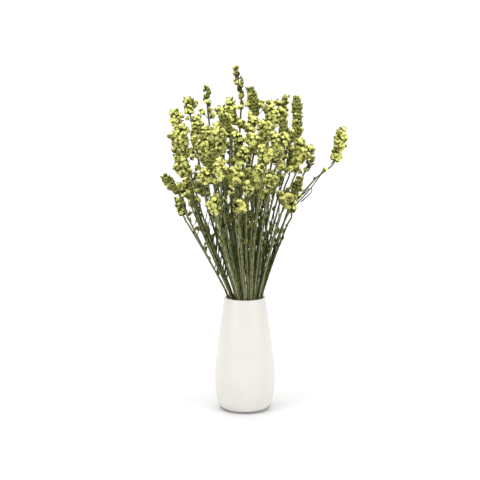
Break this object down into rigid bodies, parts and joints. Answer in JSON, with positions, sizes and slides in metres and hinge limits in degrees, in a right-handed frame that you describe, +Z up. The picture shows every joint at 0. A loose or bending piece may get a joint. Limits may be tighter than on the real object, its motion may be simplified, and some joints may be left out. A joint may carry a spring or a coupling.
{
  "type": "dried bouquet in a vase",
  "caption": "Dried pale yellow statice bouquet, sold as myosotis: winged green stems and spikes of papery florets standing loose in a small white glazed vase with an open mouth",
  "frame": {"origin": "centre of the vase's flat foot, on the surface that the vase stands on", "axes": "+Z up along the vase's axis and the bouquet's height; +X to the right in the picture, towards the long stem that stands away from the rest; the picture looks along +Y"},
  "size_m": [0.24, 0.1779, 0.4474],
  "materials": {
    "glazed_white": "satin",
    "stem_green": "matte",
    "pale_yellow": "matte",
    "olive_bract": "matte"
  },
  "bodies": {
    "root": {"vase": "glazed_white", "stems_1": "stem_green", "stems_2": "stem_green", "stems_3": "stem_green", "stems_4": "stem_green", "stems_5": "stem_green", "stems_6": "stem_green", "head_01": "pale_yellow", "head_02": "olive_bract", "head_03": "olive_bract", "head_04": "pale_yellow", "head_05": "pale_yellow", "head_06": "pale_yellow", "head_07": "olive_bract", "head_08": "pale_yellow", "head_09": "pale_yellow", "head_10": "pale_yellow", "head_11": "olive_bract", "head_12": "pale_yellow", "head_13": "pale_yellow", "head_14": "pale_yellow", "head_15": "olive_bract", "head_16": "pale_yellow", "head_17": "pale_yellow", "head_18": "pale_yellow", "head_19": "pale_yellow", "head_20": "pale_yellow", "head_21": "pale_yellow", "head_22": "pale_yellow", "head_23": "pale_yellow", "head_24": "olive_bract", "head_25": "pale_yellow", "head_26": "pale_yellow", "head_27": "pale_yellow", "head_28": "pale_yellow", "head_29": "pale_yellow", "head_30": "pale_yellow", "head_31": "pale_yellow", "head_32": "pale_yellow", "head_33": "pale_yellow", "head_34": "pale_yellow", "head_35": "pale_yellow", "head_36": "pale_yellow", "head_37": "pale_yellow", "head_38": "pale_yellow", "head_39": "olive_bract", "head_40": "pale_yellow", "head_41": "pale_yellow", "head_42": "olive_bract", "head_43": "olive_bract", "head_44": "pale_yellow", "head_45": "pale_yellow", "head_46": "pale_yellow", "head_47": "olive_bract", "head_48": "olive_bract", "head_49": "olive_bract", "head_50": "olive_bract", "head_51": "olive_bract", "head_52": "olive_bract", "head_53": "olive_bract"}
  },
  "joints": []
}
